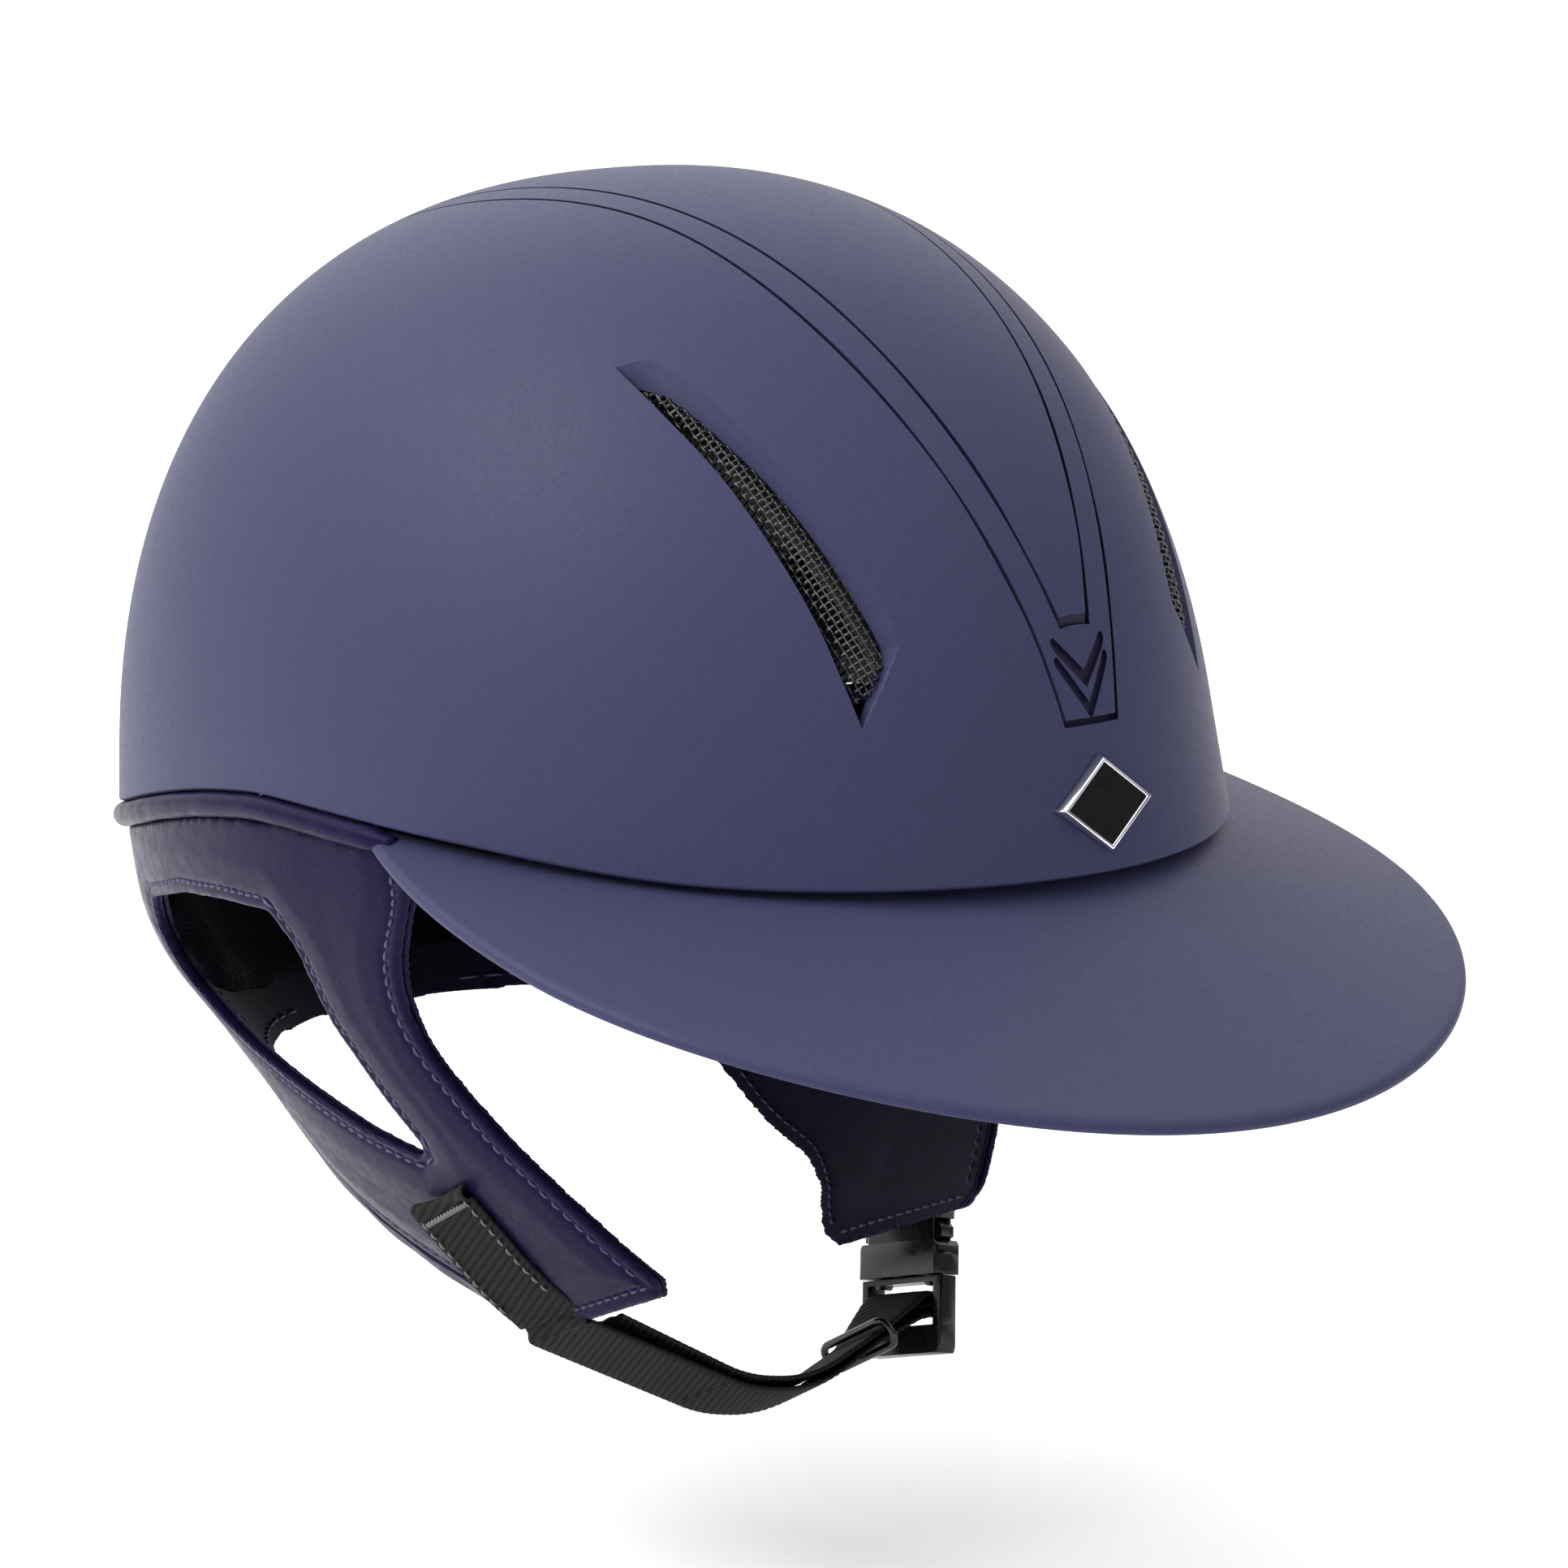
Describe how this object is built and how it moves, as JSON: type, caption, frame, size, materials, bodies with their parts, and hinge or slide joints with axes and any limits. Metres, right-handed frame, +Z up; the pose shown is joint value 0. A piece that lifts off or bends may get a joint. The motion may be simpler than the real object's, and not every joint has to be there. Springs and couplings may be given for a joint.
{
  "type": "riding helmet",
  "caption": "Riding helmet with wide sun brim, centre trim, mesh vents, padded leather harness, chin webbing and side-release buckle.",
  "frame": {"origin": "on the shell's axis, at the level of the head opening, where the head enters", "axes": "+X towards the wearer's left, -Y towards the front, +Z up"},
  "size_m": [0.237, 0.3423, 0.2828],
  "materials": {
    "shell_soft_touch": "satin",
    "brim_soft_touch": "satin",
    "trim_dark": "matte",
    "mesh_steel": "satin",
    "badge_metal": "polished",
    "badge_enamel": "gloss",
    "foam_black": "matte",
    "pad_fabric": "matte",
    "hook_loop": "matte",
    "leather_outer": "satin",
    "leather_lining": "matte",
    "web_black": "matte",
    "buckle_black": "satin",
    "wire_dark": "polished",
    "fixing_metal": "satin"
  },
  "bodies": {
    "helmet": {"outer_shell": "shell_soft_touch", "brim": "brim_soft_touch", "centre_trim": "shell_soft_touch", "trim_backing": "trim_dark", "badge_bezel": "badge_metal", "badge_plate": "badge_enamel", "vent_mesh_right": "mesh_steel", "vent_mesh_left": "mesh_steel", "impact_liner": "foam_black", "headband_pad": "pad_fabric", "crown_pad": "pad_fabric", "hook_loop_dots": "hook_loop", "rear_piping": "leather_outer", "harness_right": "leather_outer", "harness_left": "leather_outer", "lining_right": "leather_lining", "lining_left": "leather_lining", "nape_pad": "pad_fabric", "yoke_anchor_tabs": "web_black", "yoke_rivets": "fixing_metal", "brim_screws": "fixing_metal", "webbing_sewn_run": "web_black", "webbing_tab": "web_black"},
    "chin_loop": {"webbing_loop": "web_black", "buckle_socket": "buckle_black"},
    "keeper": {"strap_keeper": "wire_dark"},
    "plug": {"buckle_plug": "buckle_black"},
    "front_prong": {"prong_front": "buckle_black"},
    "rear_prong": {"prong_rear": "buckle_black"}
  },
  "joints": [
    {"name": "chin_loop_swing", "type": "hinge", "parent": "helmet", "child": "chin_loop", "pos_m": [0, -0.0228, -0.12339], "axis": [1, 0, 0], "range_deg": [-12, 18], "deforming": ["webbing_loop", "webbing_tab"]},
    {"name": "keeper_slide", "type": "slide", "parent": "chin_loop", "child": "keeper", "axis": [0.9781, 0.0556, 0.2003], "range_m": [-0.02, 0.002]},
    {"name": "buckle_release", "type": "slide", "parent": "chin_loop", "child": "plug", "axis": [-0.2588, -0.2581, -0.9308], "range_m": [0, 0.024], "deforming": ["webbing_loop", "webbing_tab", "prong_front", "prong_rear"]},
    {"name": "rear_prong_squeeze", "type": "hinge", "parent": "plug", "child": "rear_prong", "pos_m": [0.05569, -0.01694, -0.13816], "axis": [0.9659, -0.0692, -0.2494], "range_deg": [0, 10], "stiffness_Nm_per_rad": 0.05},
    {"name": "front_prong_squeeze", "type": "hinge", "parent": "plug", "child": "front_prong", "pos_m": [0.05569, -0.03351, -0.13356], "axis": [0.9659, -0.0692, -0.2494], "range_deg": [-10, 0], "stiffness_Nm_per_rad": 0.05}
  ],
  "couplings": [
    {"joint": "front_prong_squeeze", "follows": "rear_prong_squeeze", "ratio": -1}
  ]
}
